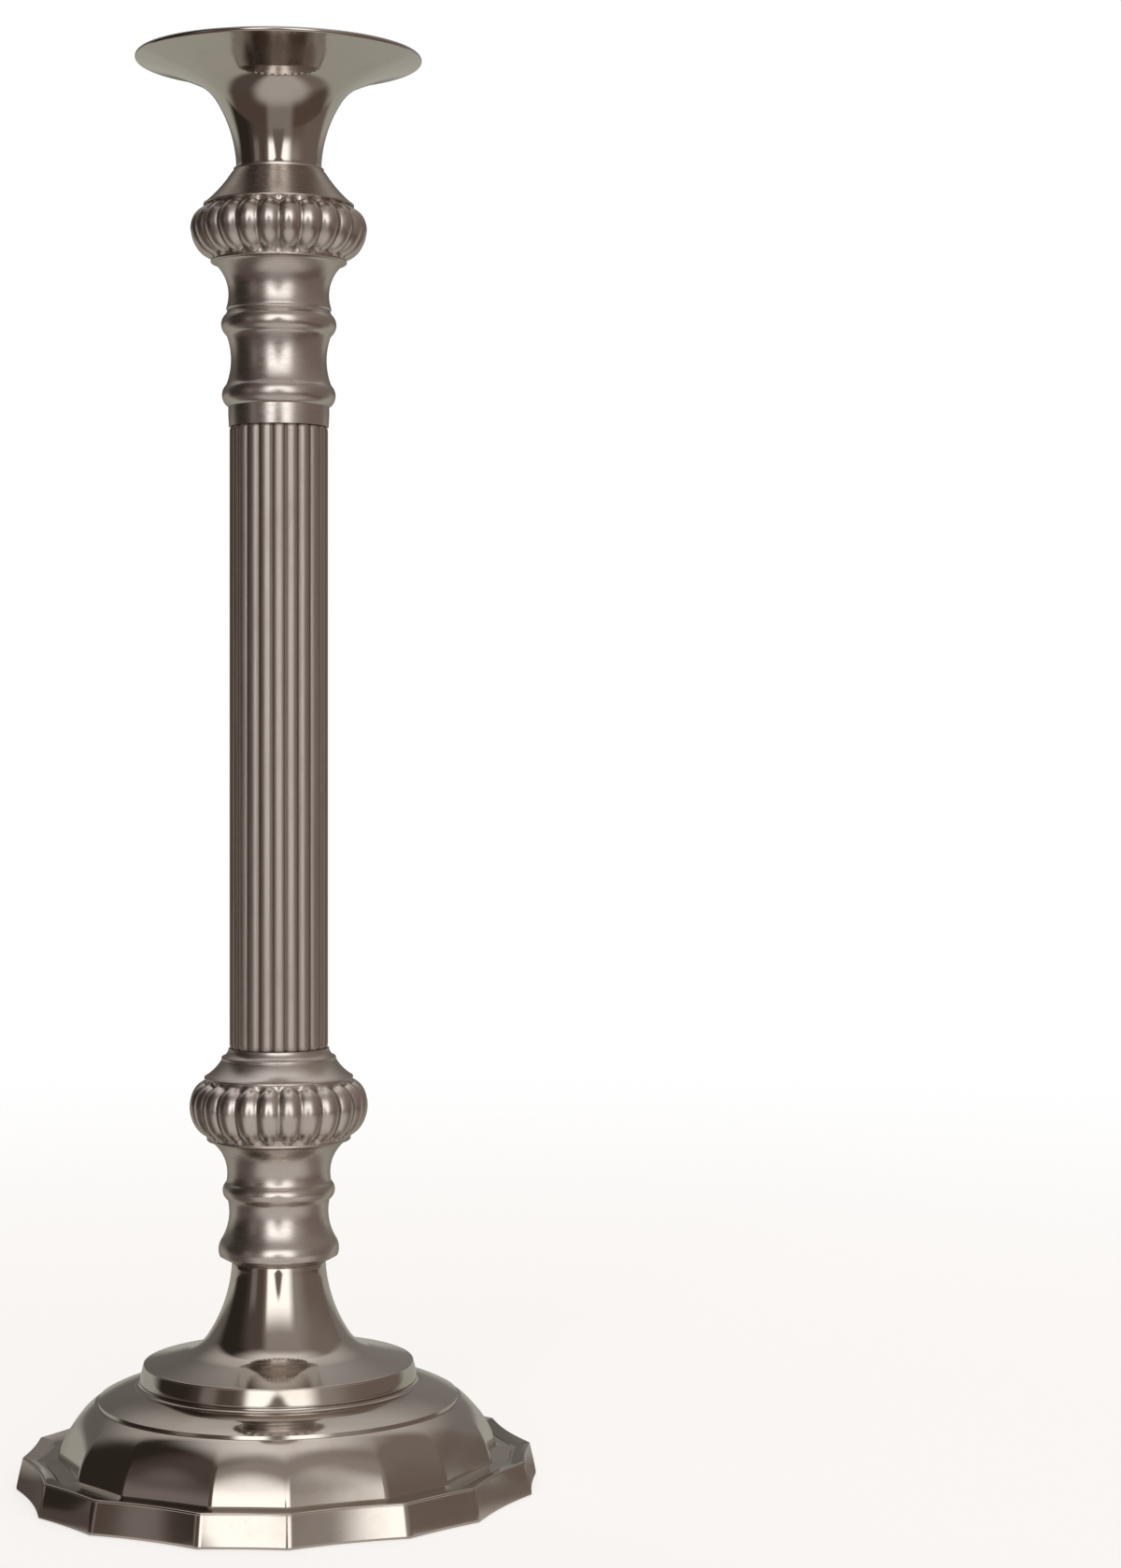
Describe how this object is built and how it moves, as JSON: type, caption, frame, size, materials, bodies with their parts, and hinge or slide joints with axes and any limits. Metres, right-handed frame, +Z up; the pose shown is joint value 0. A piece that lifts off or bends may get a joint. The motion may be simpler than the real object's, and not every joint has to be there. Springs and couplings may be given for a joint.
{
  "type": "candlestick",
  "caption": "Tall turned candlestick with a trumpet drip pan, gadrooned knops, a reeded column and a scalloped weighted base; holds one taper candle upright.",
  "frame": {"origin": "on the table under the middle of the felt pad", "axes": "+Z up along the column; -Y faces the viewer; the shape is the same every eighth of a turn about Z, with no left or right"},
  "size_m": [0.1562, 0.1562, 0.43],
  "materials": {
    "polished_plate": "silver plate, polished",
    "cup_plate": "silver plate, drawn",
    "satin_plate": "silver plate, satin",
    "brushed_plate": "silver plate, brushed lengthwise",
    "zinc_steel": "zinc plated",
    "ballast_iron": "as cast",
    "felt": "pressed felt"
  },
  "bodies": {
    "root": {"candle_pan": "polished_plate", "candle_cup": "cup_plate", "upper_knop": "satin_plate", "column_tube": "brushed_plate", "lower_knop": "satin_plate", "foot_trumpet": "polished_plate", "scalloped_base": "polished_plate", "tie_rod": "zinc_steel", "base_washer": "zinc_steel", "spring_washer": "zinc_steel", "base_nut": "zinc_steel", "ballast_ring": "ballast_iron", "cover_plate": "zinc_steel", "felt_pad": "felt"}
  },
  "joints": []
}
